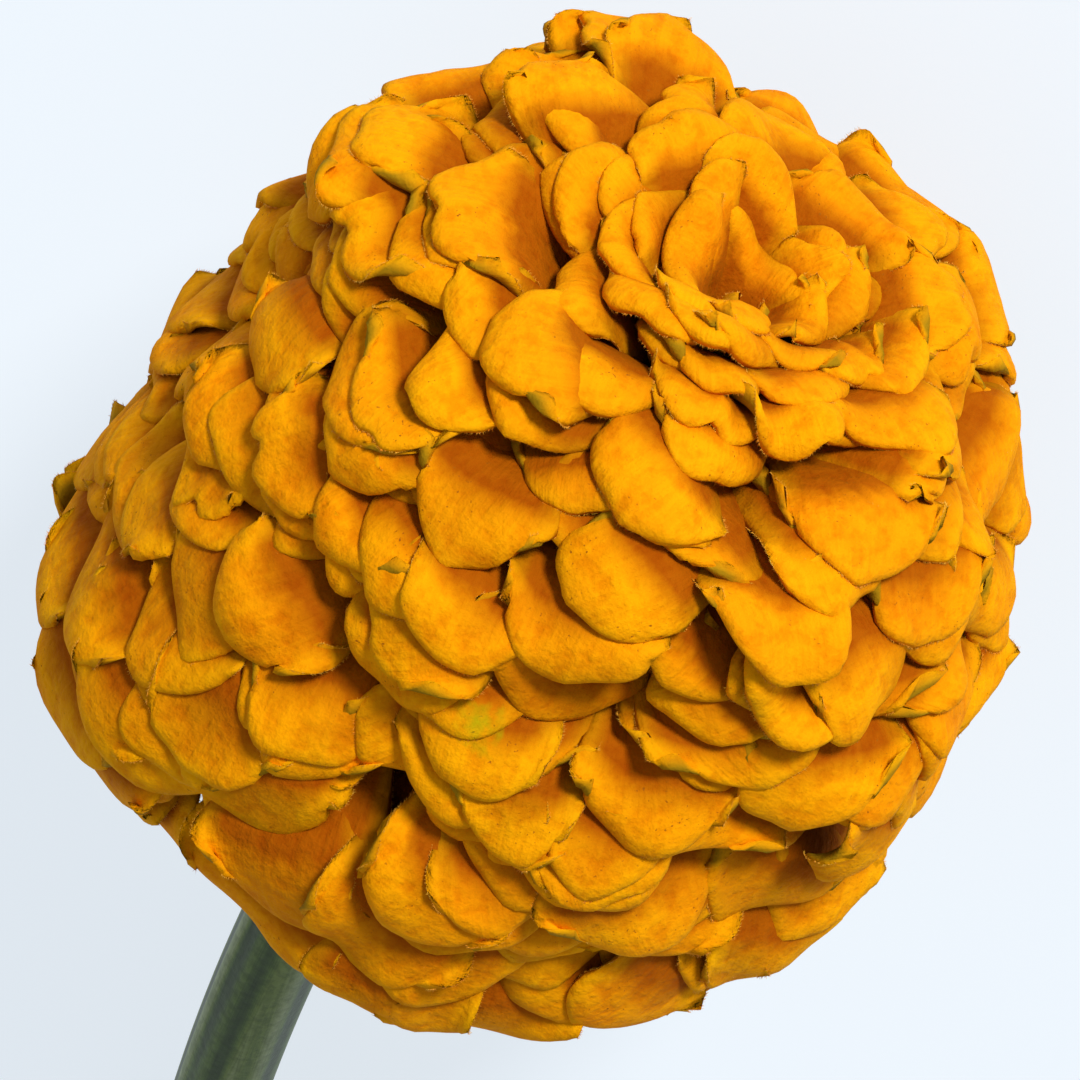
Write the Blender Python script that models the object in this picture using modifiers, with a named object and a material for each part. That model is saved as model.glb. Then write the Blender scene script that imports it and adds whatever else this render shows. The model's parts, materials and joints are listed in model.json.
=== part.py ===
"""A double zinnia, cut with a short stem and lying on a surface.

The flower is modelled upright in its own frame: its axis is +Z, the eye of the bloom is at the top,
and the frame's origin is the middle of the bloom. A parent empty then lays it on its side, so that
the flower's +X side is pressed on the surface, and the stem reaches down to it behind the bloom.
"""

import math

import bmesh
import bpy
import numpy as np
from mathutils import Euler, Matrix, Vector

MM = 0.001
GOLDEN_ANGLE = math.pi * (3 - math.sqrt(5))

# How the flower lies: its axis points a little above +X.
AXIS_RISE = math.radians(7.0)
BLOOM_CENTRE = Vector((0.0405, -0.0003, 0.0286))

# The bloom's outline, as the petal tips reach it: angle from the eye in degrees, and distance from
# the middle of the bloom. Under the petals lies a core that they stand out of.
HEAD_OUTLINE = (
    (0, 26.0 * MM),
    (15, 28.4 * MM),
    (30, 30.0 * MM),
    (45, 30.2 * MM),
    (60, 29.2 * MM),
    (90, 28.4 * MM),
    (110, 30.4 * MM),
    (125, 32.8 * MM),
    (140, 32.4 * MM),
    (155, 28.5 * MM),
)
PETAL_DEPTH = 4.6 * MM
CORE_FLOOR = -18.0 * MM
CORE_SEGMENTS, CORE_RINGS = 20, 12

# The petals, from the youngest beside the eye to the oldest in the skirt.
PETALS = 200
FIRST_TIP, LAST_TIP = math.radians(7), math.radians(146)
CROWN_CELL, SKIRT_CELL = 0.75, 1.25
SEED = 12
TURN_JITTER, TIP_JITTER = math.radians(4), math.radians(1.2)
# A blade's length as an angle. It is short beside the eye and grows within the ramp.
BLADE_ANGLE = math.radians(18)
BLADE_RAMP = math.radians(45)
CROWN_WIDTH, SKIRT_WIDTH = 8.5 * MM, 13.5 * MM
WIDTH_JITTER = 0.12
LIFT_JITTER = 0.7 * MM
BLADE_THICKNESS = 1.0 * MM
BLADE_COLUMNS, BLADE_ROWS = 2, 3
# Along a blade, at its root, shoulder, broadest place and tip: how far along it is, how wide, and
# how far it has risen from the core to the outline.
BLADE_ALONG = (0.0, 0.40, 0.76, 1.0)
BLADE_HALF_WIDTH = (0.35, 0.82, 1.0, 0.60)
BLADE_RISE = (-0.30, 0.52, 1.0, 0.84)
TIP_SWELL = 0.10
# One side of a blade lies higher than the other. Both sides droop, except that the crown's blades
# are cupped.
SIDE_TILT, TILT_JITTER = 0.45 * MM, 0.4
SIDE_DROOP, CROWN_CUPPING = 0.55 * MM, 1.6
CROWN_ENDS = math.radians(70)
MERGE_WITHIN = 0.01 * MM
SHARP_FROM = math.radians(50)

# The involucre: a cup of bracts under the bloom, between it and the stem. Its profile is the
# distance from the axis and the height, from the rim down to the foot.
FIT_GAP = 0.3 * MM
CUP_PROFILE = (
    (9.4 * MM, CORE_FLOOR - FIT_GAP),
    (9.6 * MM, -20.2 * MM),
    (8.6 * MM, -23.4 * MM),
    (6.2 * MM, -26.8 * MM),
    (4.2 * MM, -29.0 * MM),
)
CUP_STEPS = 24
BRACTS_A_ROW = 9
BRACT_LENGTH = 5.2 * MM
BRACT_OVERLAP = 1.25
BRACT_TILT = 0.22 * MM
LOWEST_WAY = 0.02
BRACT_THICKNESS = 0.8 * MM
BRACT_RISE = (-0.6 * MM, 0.1 * MM, 0.35 * MM, 0.7 * MM)
# How far up the cup each row's bracts end, as a share of the way from its foot to its rim.
BRACT_TIPS = (0.95, 0.74, 0.50)

# The stem, from the cup down to the surface.
STEM_TOP = -29.0 * MM - FIT_GAP
STEM_LENGTH = 84.0 * MM
STEM_RADIUS = 3.4 * MM
STEM_POINTS = 16
STEM_ROUNDNESS = 4
STEM_SIDE_BEND = math.radians(13)
STEM_BEND_WITHIN = 28.0 * MM
STEM_DROP = math.radians(23.3)
NECK_SWELL, NECK_WITHIN = 0.22, 5.0 * MM

ORANGE = (0.90, 0.33, 0.01, 1.0)
BRACT_GREEN = (0.10, 0.16, 0.04, 1.0)
STEM_GREEN = (0.09, 0.15, 0.04, 1.0)


def clear_scene():
    for obj in list(bpy.data.objects):
        bpy.data.objects.remove(obj, do_unlink=True)


def new_collection(name):
    made = bpy.data.collections.new(name)
    bpy.context.scene.collection.children.link(made)
    return made


def material(name, colour, roughness):
    made = bpy.data.materials.new(name)
    made.use_nodes = True
    shader = made.node_tree.nodes["Principled BSDF"]
    shader.inputs["Base Color"].default_value = colour
    shader.inputs["Roughness"].default_value = roughness
    return made


def object_of(name, mesh, collection):
    obj = bpy.data.objects.new(name, mesh)
    collection.objects.link(obj)
    return obj


def lying_matrix():
    """Turns the upright flower onto its side: its +Z becomes nearly +X, and its +X points down."""
    turn = Euler((0.0, math.pi / 2 - AXIS_RISE, 0.0)).to_matrix().to_4x4()
    return Matrix.Translation(BLOOM_CENTRE) @ turn


def smooth_curve(x, points):
    """A smooth curve through the (x, y) points: a cubic piece between each two."""
    xs, ys = (np.array(column, float) for column in zip(*points))
    slopes = np.gradient(ys, xs)
    x = np.clip(x, xs[0], xs[-1])
    i = np.clip(np.searchsorted(xs, x) - 1, 0, len(xs) - 2)
    width = xs[i + 1] - xs[i]
    t = (x - xs[i]) / width
    return (
        ys[i] * (1 + 2 * t) * (1 - t) ** 2
        + ys[i + 1] * t * t * (3 - 2 * t)
        + width * t * (1 - t) * (slopes[i] * (1 - t) - slopes[i + 1] * t)
    )


def head_radius(polar):
    """Distance from the middle of the bloom to its outline, at an angle from the eye."""
    return smooth_curve(np.degrees(polar), HEAD_OUTLINE)


def core_radius(polar):
    """The core lies one petal depth inside the outline, and is cut off level under the bloom."""
    inside = head_radius(polar) - PETAL_DEPTH
    down = np.maximum(-np.cos(polar), 1e-6)
    return np.minimum(inside, -CORE_FLOOR / down)


def tip_angles():
    """Angle from the eye of each petal's tip, so that each petal covers its share of the outline."""
    polar = np.linspace(FIRST_TIP, LAST_TIP, 400)
    share = (polar - FIRST_TIP) / (LAST_TIP - FIRST_TIP)
    cell = CROWN_CELL + (SKIRT_CELL - CROWN_CELL) * share
    density = head_radius(polar) ** 2 * np.sin(polar) / cell
    grown = np.cumsum(density)
    place = (np.arange(PETALS) + 0.5) / PETALS
    return np.interp(place, grown / grown[-1], polar)


def on_head(polar, azimuth, sideways):
    """Unit direction: from the eye down a meridian by polar, then square to it by sideways."""
    out = Vector((math.cos(azimuth), math.sin(azimuth), 0.0))
    across = Vector((-math.sin(azimuth), math.cos(azimuth), 0.0))
    along = out * math.sin(polar) + Vector((0.0, 0.0, math.cos(polar)))
    return along * math.cos(sideways) + across * math.sin(sideways)


def above_surface(point, laid_down, least):
    """Lifts a point of the upright flower that would lie lower than least once laid down."""
    laid = laid_down @ point
    if laid.z >= least:
        return point
    laid.z = least
    return laid_down.inverted() @ laid


def blade_mesh(name, place):
    """A closed blade: two grids alike, one for each face, joined all round where they meet."""
    mesh = bmesh.new()
    for face in (1, -1):
        grid = bmesh.ops.create_grid(
            mesh, x_segments=BLADE_COLUMNS, y_segments=BLADE_ROWS, size=1.0
        )["verts"]
        for quad in {face for vert in grid for face in vert.link_faces}:
            corners = sorted(quad.verts, key=lambda vert: vert.co.length)
            opposite = quad.verts[list(quad.verts).index(corners[0]) - 2]
            bmesh.utils.face_split(quad, corners[0], opposite)
        for vert in grid:
            row = round((vert.co.y + 1) / 2 * BLADE_ROWS)
            vert.co = place(row, vert.co.x, face)
    bmesh.ops.remove_doubles(mesh, verts=mesh.verts, dist=MERGE_WITHIN)
    bmesh.ops.recalc_face_normals(mesh, faces=mesh.faces)
    made = bpy.data.meshes.new(name)
    mesh.to_mesh(made)
    mesh.free()
    return made


def petal_mesh(index, tip, azimuth, drawn, laid_down):
    """One petal: a blade that leaves the core, rises over the older petals and turns down at its tip.

    tip is the tip's angle from the eye. drawn holds the petal's own random numbers, from -1 to 1.
    """
    crown = 1 - min(1.0, tip / CROWN_ENDS)
    span = BLADE_ANGLE * (1 - math.exp(-tip / BLADE_RAMP))
    share = (tip - FIRST_TIP) / (LAST_TIP - FIRST_TIP)
    width = CROWN_WIDTH + (SKIRT_WIDTH - CROWN_WIDTH) * share
    width *= 1 + WIDTH_JITTER * drawn[2]
    lift = LIFT_JITTER * drawn[3]
    tilt = SIDE_TILT * (1 + TILT_JITTER * drawn[4])
    droop = SIDE_DROOP * (1 - (1 + CROWN_CUPPING) * crown)

    def place(row, side, face):
        inner = row in (1, 2) and side == 0
        along = BLADE_ALONG[row] + (TIP_SWELL if row == BLADE_ROWS and side == 0 else 0.0)
        polar = tip - (1 - along) * span
        outer = float(head_radius(polar)) + lift * along
        depth = outer - float(core_radius(tip - (1 - min(along, 1.0)) * span))
        radius = outer - (1 - BLADE_RISE[row]) * depth
        radius += side * tilt - abs(side) * droop
        if inner:
            radius += face * BLADE_THICKNESS / 2
        sideways = side * width / 2 * BLADE_HALF_WIDTH[row] / float(head_radius(tip))
        point = on_head(polar, azimuth, sideways) * radius
        least = BLADE_THICKNESS if inner and face < 0 else 0.0
        return above_surface(point, laid_down, least)

    return blade_mesh(f"petal_{index:03d}", place)


def keep_outer_shell(mesh):
    """Drops the hollows that joining sealed and any loose scrap, and keeps the one body."""
    work = bmesh.new()
    work.from_mesh(mesh)
    left = set(work.faces)
    shells = []
    while left:
        shell = {left.pop()}
        newest = list(shell)
        while newest:
            face = newest.pop()
            beside = {other for edge in face.edges for other in edge.link_faces} & left
            left -= beside
            shell |= beside
            newest.extend(beside)
        shells.append(shell)
    outer = max(shells, key=len)
    scraps = [face for shell in shells if shell is not outer for face in shell]
    bmesh.ops.delete(work, geom=scraps, context="FACES")
    work.to_mesh(mesh)
    work.free()


def shade_smooth(mesh):
    """Shades a mesh round, but for its sharp edges."""
    mesh.shade_smooth()
    mesh.set_sharp_from_angle(angle=SHARP_FROM)


def joined(name, base, pieces, collection):
    """One mesh object: the base with every object of the pieces collection joined to it."""
    union = base.modifiers.new("join", "BOOLEAN")
    union.operation = "UNION"
    union.operand_type = "COLLECTION"
    union.collection = pieces
    bpy.context.view_layer.update()
    evaluated = base.evaluated_get(bpy.context.evaluated_depsgraph_get())
    mesh = bpy.data.meshes.new_from_object(evaluated)
    mesh.name = name
    keep_outer_shell(mesh)
    shade_smooth(mesh)
    for obj in [base, *pieces.objects]:
        bpy.data.objects.remove(obj, do_unlink=True)
    bpy.data.collections.remove(pieces)
    return object_of(name, mesh, collection)


def core_object(collection):
    mesh = bmesh.new()
    bmesh.ops.create_uvsphere(
        mesh, u_segments=CORE_SEGMENTS, v_segments=CORE_RINGS, radius=1.0
    )
    for vert in mesh.verts:
        polar = math.acos(max(-1.0, min(1.0, vert.co.z)))
        vert.co *= float(core_radius(polar))
    made = bpy.data.meshes.new("core")
    mesh.to_mesh(made)
    mesh.free()
    return object_of("core", made, collection)


def make_bloom(collection, laid_down):
    """All the petals in their spiral, joined to the core that they grow from."""
    drawn = np.random.default_rng(SEED).uniform(-1, 1, (PETALS, 5))
    pieces = new_collection("petals_to_join")
    for index, tip in enumerate(tip_angles()):
        azimuth = index * GOLDEN_ANGLE + TURN_JITTER * drawn[index, 0]
        tip += TIP_JITTER * drawn[index, 1]
        mesh = petal_mesh(index, tip, azimuth, drawn[index], laid_down)
        object_of(mesh.name, mesh, pieces)
    return joined("ray_florets", core_object(collection), pieces, collection)


def cup_object(collection):
    """The cup's solid middle: its profile turned round the axis, closed by the points on the axis."""
    rim, foot = CUP_PROFILE[0], CUP_PROFILE[-1]
    profile = [(0.0, rim[1]), *CUP_PROFILE, (0.0, foot[1])]
    corners = [(radius, 0.0, height) for radius, height in profile]
    edges = [(place, place + 1) for place in range(len(corners) - 1)]
    made = bpy.data.meshes.new("cup")
    made.from_pydata(corners, edges, [])
    cup = object_of("cup", made, collection)
    turned = cup.modifiers.new("turned", "SCREW")
    turned.axis = "Z"
    turned.steps = turned.render_steps = CUP_STEPS
    turned.use_merge_vertices = True
    turned.merge_threshold = MERGE_WITHIN
    return cup


def on_cup(way):
    """Distance from the axis and height on the cup, from its foot (0) to its rim (1)."""
    radii, heights = zip(*reversed(CUP_PROFILE))
    at = way * (len(CUP_PROFILE) - 1)
    stations = range(len(CUP_PROFILE))
    return float(np.interp(at, stations, radii)), float(np.interp(at, stations, heights))


def bract_mesh(index, tip_way, azimuth, width):
    """One bract: a blade that lies against the cup, its tip a little way off it."""
    length_way = BRACT_LENGTH / (CUP_PROFILE[0][1] - CUP_PROFILE[-1][1])

    def place(row, side, face):
        along = BLADE_ALONG[row] + (TIP_SWELL if row == BLADE_ROWS and side == 0 else 0.0)
        radius, height = on_cup(max(LOWEST_WAY, tip_way - (1 - along) * length_way))
        radius += BRACT_RISE[row] + side * BRACT_TILT
        if row in (1, 2) and side == 0:
            radius += face * BRACT_THICKNESS / 2
        angle = azimuth + side * width / 2 * BLADE_HALF_WIDTH[row] / radius
        return Vector((radius * math.cos(angle), radius * math.sin(angle), height))

    return blade_mesh(f"bract_{index:02d}", place)


def make_involucre(collection):
    """Rows of overlapping bracts on the cup, joined to it, each row set between those of the next."""
    pieces = new_collection("bracts_to_join")
    for row, tip_way in enumerate(BRACT_TIPS):
        width = BRACT_OVERLAP * 2 * math.pi * on_cup(tip_way)[0] / BRACTS_A_ROW
        for step in range(BRACTS_A_ROW):
            azimuth = 2 * math.pi * (step + row / 2) / BRACTS_A_ROW
            mesh = bract_mesh(row * BRACTS_A_ROW + step, tip_way, azimuth, width)
            object_of(mesh.name, mesh, pieces)
    return joined("involucre", cup_object(collection), pieces, collection)


def make_stem(collection, laid_down):
    """A round rod that bends aside near the bloom and then arcs down to the surface."""
    top = laid_down @ Vector((0.0, 0.0, STEM_TOP))
    path = bpy.data.curves.new("stem", "CURVE")
    path.dimensions = "3D"
    path.bevel_depth = STEM_RADIUS
    path.bevel_resolution = STEM_ROUNDNESS
    path.use_fill_caps = True
    spline = path.splines.new("POLY")
    spline.points.add(STEM_POINTS - 1)
    point = Vector((0.0, 0.0, 0.0))
    step = STEM_LENGTH / (STEM_POINTS - 1)
    for index, control in enumerate(spline.points):
        gone = index * step
        control.co = (*point, 1.0)
        control.radius = 1 + NECK_SWELL * math.exp(-gone / NECK_WITHIN)
        middle = gone + step / 2
        aside = STEM_SIDE_BEND * (1 - math.exp(-middle / STEM_BEND_WITHIN))
        down = AXIS_RISE + (STEM_DROP - AXIS_RISE) * middle / STEM_LENGTH
        level = step * math.cos(down)
        point += Vector(
            (-level * math.cos(aside), -level * math.sin(aside), -step * math.sin(down))
        )
    stem = object_of("stem", path, collection)
    stem.location = top
    return stem


def main():
    clear_scene()
    flower = new_collection("zinnia_flower")
    laid_down = lying_matrix()
    pose = object_of("flower_pose", None, flower)
    pose.matrix_world = laid_down

    bloom = make_bloom(flower, laid_down)
    bloom.data.materials.append(material("petals", ORANGE, 0.75))
    bloom.parent = pose
    involucre = make_involucre(flower)
    involucre.data.materials.append(material("bracts", BRACT_GREEN, 0.6))
    involucre.parent = pose
    stem = make_stem(flower, laid_down)
    stem.data.materials.append(material("stem_skin", STEM_GREEN, 0.5))


main()
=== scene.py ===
"""The looks of a double zinnia that lies on a pale surface: petals, bracts, stem, light and camera."""

import json
import math

import bpy
import numpy as np
from mathutils import Matrix, Vector

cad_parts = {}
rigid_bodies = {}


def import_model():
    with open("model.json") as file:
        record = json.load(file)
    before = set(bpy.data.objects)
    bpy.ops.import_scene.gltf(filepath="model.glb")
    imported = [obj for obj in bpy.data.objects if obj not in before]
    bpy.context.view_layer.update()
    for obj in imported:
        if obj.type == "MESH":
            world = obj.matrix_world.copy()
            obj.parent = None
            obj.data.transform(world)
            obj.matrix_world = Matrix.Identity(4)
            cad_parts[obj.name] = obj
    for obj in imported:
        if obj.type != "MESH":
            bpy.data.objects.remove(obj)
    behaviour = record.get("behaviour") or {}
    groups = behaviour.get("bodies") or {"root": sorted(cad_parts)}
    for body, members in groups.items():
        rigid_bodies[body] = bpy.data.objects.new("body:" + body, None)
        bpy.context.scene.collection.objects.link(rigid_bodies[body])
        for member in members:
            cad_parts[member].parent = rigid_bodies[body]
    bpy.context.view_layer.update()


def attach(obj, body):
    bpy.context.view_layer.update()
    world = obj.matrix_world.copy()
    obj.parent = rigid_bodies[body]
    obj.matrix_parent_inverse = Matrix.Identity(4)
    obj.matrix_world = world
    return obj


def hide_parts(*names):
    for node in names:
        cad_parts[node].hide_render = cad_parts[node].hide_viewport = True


MM = 0.001
GOLDEN_ANGLE = math.pi * (3 - math.sqrt(5))
SEED = 9

# The flower's own frame: its axis, the eye at its end, and the middle of the bloom.
AXIS_RISE = math.radians(7.0)
BLOOM_CENTRE = np.array([40.5, -0.3, 28.6]) * MM
AXIS = np.array([math.cos(AXIS_RISE), 0.0, math.sin(AXIS_RISE)])
DOWN_SIDE = np.array([math.sin(AXIS_RISE), 0.0, -math.cos(AXIS_RISE)])
FLOWER_AXES = np.stack([DOWN_SIDE, np.cross(AXIS, DOWN_SIDE), AXIS])
# The petals under the bloom's weight are pressed into this height above the surface.
PRESSED_HEIGHT = 1.0 * MM

# Angle from the eye in degrees, and distance from the bloom's middle to the petals' outline.
HEAD_OUTLINE = (
    (0, 25.5),
    (15, 29.0),
    (30, 30.8),
    (45, 30.8),
    (60, 29.8),
    (90, 28.6),
    (110, 30.6),
    (125, 33.4),
    (140, 33.0),
    (155, 28.5),
)
SKIRT_SPREAD = 0.05
SPREAD_STARTS, SPREAD_RAMP = math.radians(90), math.radians(35)
# Low swells and dips of the outline: angle from the eye, azimuth, height in mm, width in radians.
SWELLS = (
    (129, 141, 2.4, 0.40),
    (93, -93, 1.0, 0.38),
    (98, 98, -1.3, 0.35),
    (49, -33, 1.0, 0.35),
    (52, 41, -1.2, 0.30),
)
CORE_DEPTH = 9.0 * MM
CORE_ENDS = math.radians(150)

# Petals: their tips' angles from the eye, and the area of the outline that one petal shows.
FIRST_TIP, LAST_TIP = math.radians(8), math.radians(152)
SHOWN_AREAS = ((0, 20.0), (45, 22.0), (80, 22.0), (140, 31.0))
PETAL_WIDTHS = ((0, 4.4), (12, 6.6), (26, 8.8), (60, 9.8), (100, 11.0), (140, 13.0))
PETAL_LENGTHS = ((0, 3.8), (12, 6.4), (26, 9.6), (60, 12.0), (140, 14.5))
ROOT_DEPTHS = ((0, 6.0), (14, 7.0), (32, 8.5), (55, 9.5), (140, 9.5))
RISE_POWER = 1.5
OUTLINE_INSETS = ((0, 5.0), (12, 3.4), (26, 2.5), (45, 2.3), (70, 2.8), (100, 2.6), (140, 1.2))
PETAL_THICKNESS = 0.55 * MM
PETAL_GAP = 0.15 * MM
ALONG_STEPS, ACROSS_STEPS = 18, 21
DRAWS = 27
BROADEST = 0.55
RISEN = 0.80
MARGIN_WIDTH = 2.0 * MM
# A petal's part below this share of its length may lie deeper than its elders.
ROOTED_SHARES = ((0, 0.65), (30, 0.55), (60, 0.40), (140, 0.35))
ROOT_FREEDOM = 6.0 * MM
STIFF_SLOPE = 0.70
FLOOR_BLURS, BLADE_BLURS, LIMIT_BLURS = 2, (6, 3, 1), 4
RIM_RADIUS = 1.4 * MM
RIM_SHARE = 0.45
# How much petals differ: angles in radians, heights in mm.
TURN_JITTER, TIP_JITTER = 0.25, 0.11
PETAL_TURN = 0.50
PETAL_LIFT, PETAL_ROLL, PETAL_BOWL, RUFFLE, PETAL_NOD = 1.1, 0.7, 0.7, 0.25, 1.0
STAND_OFF = 0.9
# How much livelier petals are by their angle from the eye.
WILDNESS = ((0, 1.1), (25, 1.8), (60, 1.6), (90, 1.2), (140, 0.8))
ROLLED_SHARE, TIPPED_SHARE, ROLL_WAVE = 0.60, 0.14, 0.25
ROLL_LANDS, ROLL_TURN, ROLL_EASE, ROLL_PICKY = 0.40, 2.4, 0.16, 0.3
COVERED_BY = 0.35 * MM
# How far the mean height of the bloom is taken, in the map's cells, and the depth that counts as 1 for the
# petals' painted shade.
MEAN_OVER = 6.0
HOLLOW_SHADE_DEPTH = 1.6 * MM
EYE_ANGLE = math.radians(2.0)
PIECES = 6
HAIRS_A_METRE = 13000
HAIR_LENGTH, HAIR_RADIUS = 0.20 * MM, 0.018 * MM
HAIR_SPREAD, HAIR_PIECES = 0.35, 2

# Height map of what the petals laid so far reach, over the eye's azimuthal map.
MAP_HALF = 2.9
MAP_CELL = 0.012
FINE_ALONG, FINE_ACROSS = 3, 8

# The cup of bracts between the bloom and the stem. Distance from the axis and height, in mm, from
# its rim down to its foot.
CUP_PROFILE = ((9.4, -18.3), (9.6, -20.2), (8.6, -23.4), (6.2, -26.8), (4.2, -29.0))
BRACTS_A_ROW = 10
BRACT_TIPS = (1.0, 0.80, 0.60, 0.40)
BRACT_LENGTH = 5.0 * MM
BRACT_OVERLAP = 1.35
BRACT_THICKNESS = 0.45 * MM
BRACT_MARGIN = 0.8 * MM
BRACT_OVERRUN = 1.5 * MM

# The stem, from the cup down to the surface.
STEM_TOP = -29.3 * MM
STEM_LENGTH = 84.0 * MM
STEM_RADIUS = 3.4 * MM
STEM_SIDE_BEND = math.radians(13)
STEM_BEND_WITHIN = 28.0 * MM
STEM_DROP = math.radians(23.3)
NECK_SWELL, NECK_WITHIN = 0.22, 5.0 * MM
STEM_ROWS, STEM_COLUMNS = 120, 60
STEM_RIDGES = 0.07

# The photograph's view: the camera looks down on the bloom, turned so that the axis leans right.
VIEW_RISE = math.radians(53.0)
AXIS_LEAN = math.radians(36.0)
CAMERA_DISTANCE = 0.395
FRAME_WIDTH = 0.0700
FRAME_PIXELS = 1080
BLOOM_PIXEL = (563, 520)
SENSOR_WIDTH = 36.0

GOLD, AMBER, ORANGE = (0.84, 0.365, 0.001), (0.80, 0.270, 0.001), (0.77, 0.220, 0.001)
# The petals' own deeper orange at the root, which also serves as painted shade at the root and in their hollows.
ROOT_AND_SHADE_ORANGE = (0.36, 0.085, 0.001)
MARGIN_YELLOW = (0.70, 0.350, 0.002)
STREAK_BROWN, MOTTLE_BROWN = (0.95, 0.90, 0.75), (0.86, 0.72, 0.50)
SPECK_BROWN = (0.30, 0.085, 0.004)
UNDER_OLIVE = (0.31, 0.165, 0.004)
HAIR_GOLD = (0.86, 0.46, 0.03)
# A green stain on some petals: to the photo's right, up and towards the camera, in mm, and its reach.
STAIN_PLACE = (-4.8, -13.0, 25.5)
STAIN_REACH = (4.4 * MM, 2.4 * MM)
STAIN_GREEN = (0.27, 0.34, 0.003)
PETAL_BUMP = 0.16 * MM
# Painted shade: dark brown for the depth between the petals, where deeper petals lie in shadow.
CORE_PAINTED_SHADE, CORE_SHADE = (0.35, 0.060, 0.002), (0.55, 0.50, 0.40)
GREEN_SHADE, STREAK_GREEN = (0.62, 0.66, 0.55), (0.70, 0.76, 0.62)
# The finishes' grain: patches a metre, and the relief's height.
CORE_GRAIN, BRACT_GRAIN, STEM_GRAIN = 900.0, 1100.0, 1600.0
CORE_BUMP, BRACT_BUMP, STEM_BUMP = 0.30 * MM, 0.08 * MM, 0.05 * MM

SKY_MEAN, SKY_SLOPE = 0.38, 0.16
KEY_POWER, KEY_DISTANCE, KEY_SIZE = 66.0, 2.5, 0.5
FLOOR_GLOW = 0.75


def curve_at(x, points):
    """Smooth curve through (x, y) points: between two of them a cubic that takes their slopes."""
    xs, ys = (np.array(column, float) for column in zip(*points))
    slopes = np.gradient(ys, xs)
    x = np.clip(x, xs[0], xs[-1])
    i = np.clip(np.searchsorted(xs, x) - 1, 0, len(xs) - 2)
    width = xs[i + 1] - xs[i]
    t = (x - xs[i]) / width
    return (
        ys[i] * (1 + 2 * t) * (1 - t) ** 2
        + ys[i + 1] * t * t * (3 - 2 * t)
        + width * t * (1 - t) * (slopes[i] * (1 - t) - slopes[i + 1] * t)
    )


def by_polar(polar, points):
    return curve_at(np.degrees(polar), points)


def head_radius(polar, azimuth=None):
    """The outline's curve, and with an azimuth also the skirt's spread and the swells.

    The skirt is broader to the flower's left and right than above and below. A swell falls off
    with the angle from its middle, as the exponential of the angle's cosine.
    """
    radius = by_polar(polar, HEAD_OUTLINE) * MM
    if azimuth is None:
        return radius
    spread = -SKIRT_SPREAD * np.cos(2 * azimuth) * smooth_step((polar - SPREAD_STARTS) / SPREAD_RAMP)
    radius = radius * (1 + spread)
    for swell_polar, swell_azimuth, height, width in SWELLS:
        level, turned_by = math.radians(swell_polar), azimuth - math.radians(swell_azimuth)
        near = np.cos(polar) * math.cos(level) + np.sin(polar) * math.sin(level) * np.cos(turned_by)
        radius = radius + height * MM * np.exp((near - 1) / width**2)
    return radius


def outline_at(directions):
    polar = np.arccos(np.clip(directions[..., 2], -1, 1))
    return head_radius(polar, np.arctan2(directions[..., 1], directions[..., 0]))


def smooth_step(x):
    x = np.clip(x, 0.0, 1.0)
    return x * x * (3 - 2 * x)


def to_row(points):
    """Points of the flower's frame in the row's frame: turned, then moved to the bloom's middle."""
    return points @ FLOWER_AXES + BLOOM_CENTRE


def pressed(points):
    """Row points with their heights kept above 0: below the pressed height they fade out as exp."""
    height = points[..., 2]
    low = PRESSED_HEIGHT * np.exp(np.minimum(height / PRESSED_HEIGHT - 1, 0))
    points[..., 2] = np.where(height < PRESSED_HEIGHT, low, height)
    return points


def head_direction(polar, azimuth, sideways):
    """Unit vectors: down the meridian at azimuth by polar, then square to it by sideways."""
    out = np.array([math.cos(azimuth), math.sin(azimuth), 0.0])
    across = np.array([-math.sin(azimuth), math.cos(azimuth), 0.0])
    along = np.sin(polar)[..., None] * out
    along[..., 2] += np.cos(polar)
    return along * np.cos(sideways)[..., None] + across * np.sin(sideways)[..., None]


class HeightMap:
    """How far from the bloom's middle the petals reach, in each direction, as they are laid.

    A direction is at (polar cos azimuth, polar sin azimuth) on the map.
    """

    def __init__(self):
        self.size = int(2 * MAP_HALF / MAP_CELL)
        middle = (np.arange(self.size) + 0.5) * MAP_CELL - MAP_HALF
        polar = np.hypot(middle[:, None], middle[None, :])
        azimuth = np.arctan2(middle[None, :], middle[:, None])
        self.reach = head_radius(polar, azimuth) - CORE_DEPTH

    def cells(self, points, distance):
        polar = np.arccos(np.clip(points[..., 2] / distance, -1, 1))
        flat = np.maximum(np.hypot(points[..., 0], points[..., 1]), 1e-9)
        at = points[..., :2] * (polar / flat)[..., None]
        cell = ((at + MAP_HALF) / MAP_CELL).astype(int)
        return tuple(np.clip(cell, 0, self.size - 1).reshape(-1, 2).T)

    def look(self, directions):
        found = self.reach[self.cells(directions, 1.0)]
        return found.reshape(directions.shape[:-1])

    def lay(self, points):
        distance = np.linalg.norm(points, axis=-1)
        np.maximum.at(self.reach, self.cells(points, distance), distance.ravel())

    def averaged(self, cells):
        """The same map with each cell a mean of those about it, weighed by a Gaussian."""
        waves = np.fft.fftfreq(self.size)
        kept = np.exp(-2 * (math.pi * cells * waves) ** 2)
        made = HeightMap()
        made.reach = np.fft.ifft2(np.fft.fft2(self.reach) * np.outer(kept, kept)).real
        return made


def finer(count, times):
    """Matrix that fills in a row of samples, times as many, along straight lines between them."""
    places = np.linspace(0, count - 1, (count - 1) * times + 1)
    low = np.minimum(places.astype(int), count - 2)
    made = np.zeros((len(places), count))
    rows = np.arange(len(places))
    made[rows, low] = 1 - (places - low)
    made[rows, low + 1] = places - low
    return made


def petal_grid():
    """Along (0 root to 1 tip) and across (-1 to 1), closer together near the tip and margins."""
    along = 1 - (1 - np.linspace(0, 1, ALONG_STEPS)) ** 1.4
    across = np.sin(np.linspace(-1, 1, ACROSS_STEPS) * math.pi / 2 * 0.85)
    across /= across[-1]
    return np.meshgrid(along, across, indexing="ij")


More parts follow.
